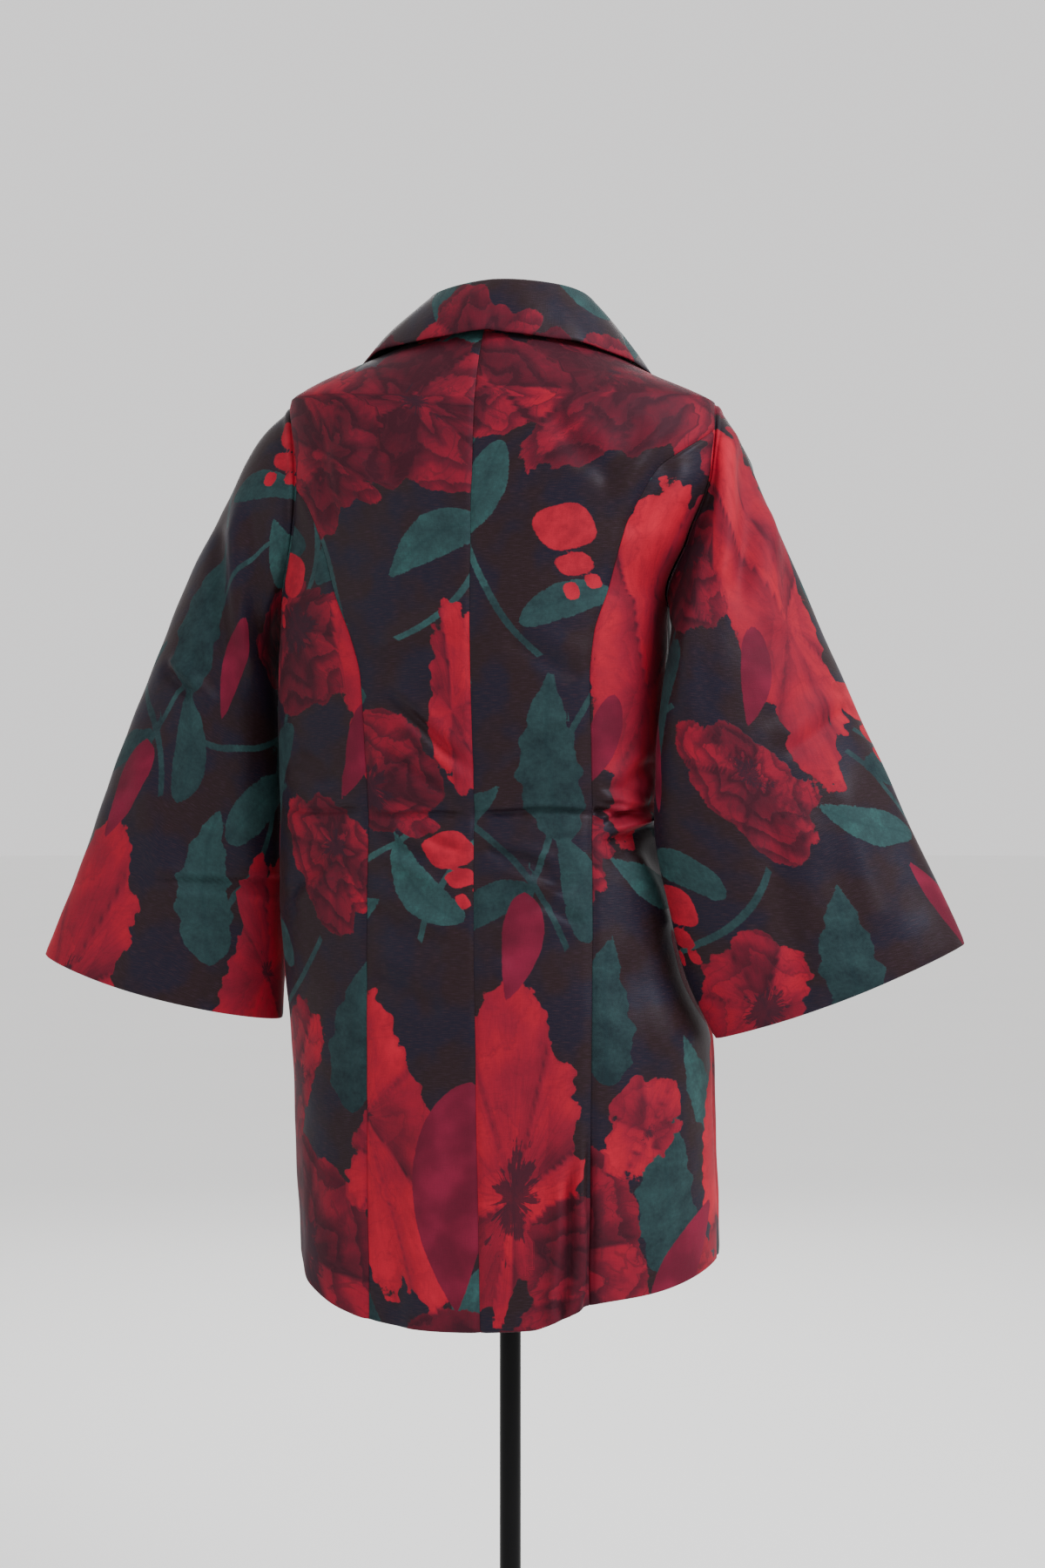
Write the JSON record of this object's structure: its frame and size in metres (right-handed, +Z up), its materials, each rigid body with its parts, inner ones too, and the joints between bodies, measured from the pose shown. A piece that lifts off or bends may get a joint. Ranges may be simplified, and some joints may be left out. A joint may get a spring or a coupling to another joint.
{
  "type": "kimono jacket on a dress form",
  "caption": "Kimono jacket with wide flared sleeves, a fold-over collar and princess seams, worn by a limbless dress form on a round-based pole stand",
  "frame": {"origin": "the middle of the base's underside, on the pole's axis", "axes": "+Z up along the pole, -Y towards the jacket's front, +X towards its wearer's left"},
  "size_m": [0.843, 0.34, 1.463],
  "materials": {
    "jacquard": "satin floral jacquard",
    "form_cover": "matt jersey",
    "stand_metal": "satin black"
  },
  "bodies": {
    "root": {"back_centre_left": "jacquard", "back_centre_right": "jacquard", "back_side_left": "jacquard", "back_side_right": "jacquard", "front_left": "jacquard", "front_right": "jacquard", "sleeve_left": "jacquard", "sleeve_right": "jacquard", "collar": "jacquard", "form_torso": "form_cover", "form_neck_cap": "form_cover", "form_socket": "stand_metal", "pole": "stand_metal", "base": "stand_metal"}
  },
  "joints": []
}
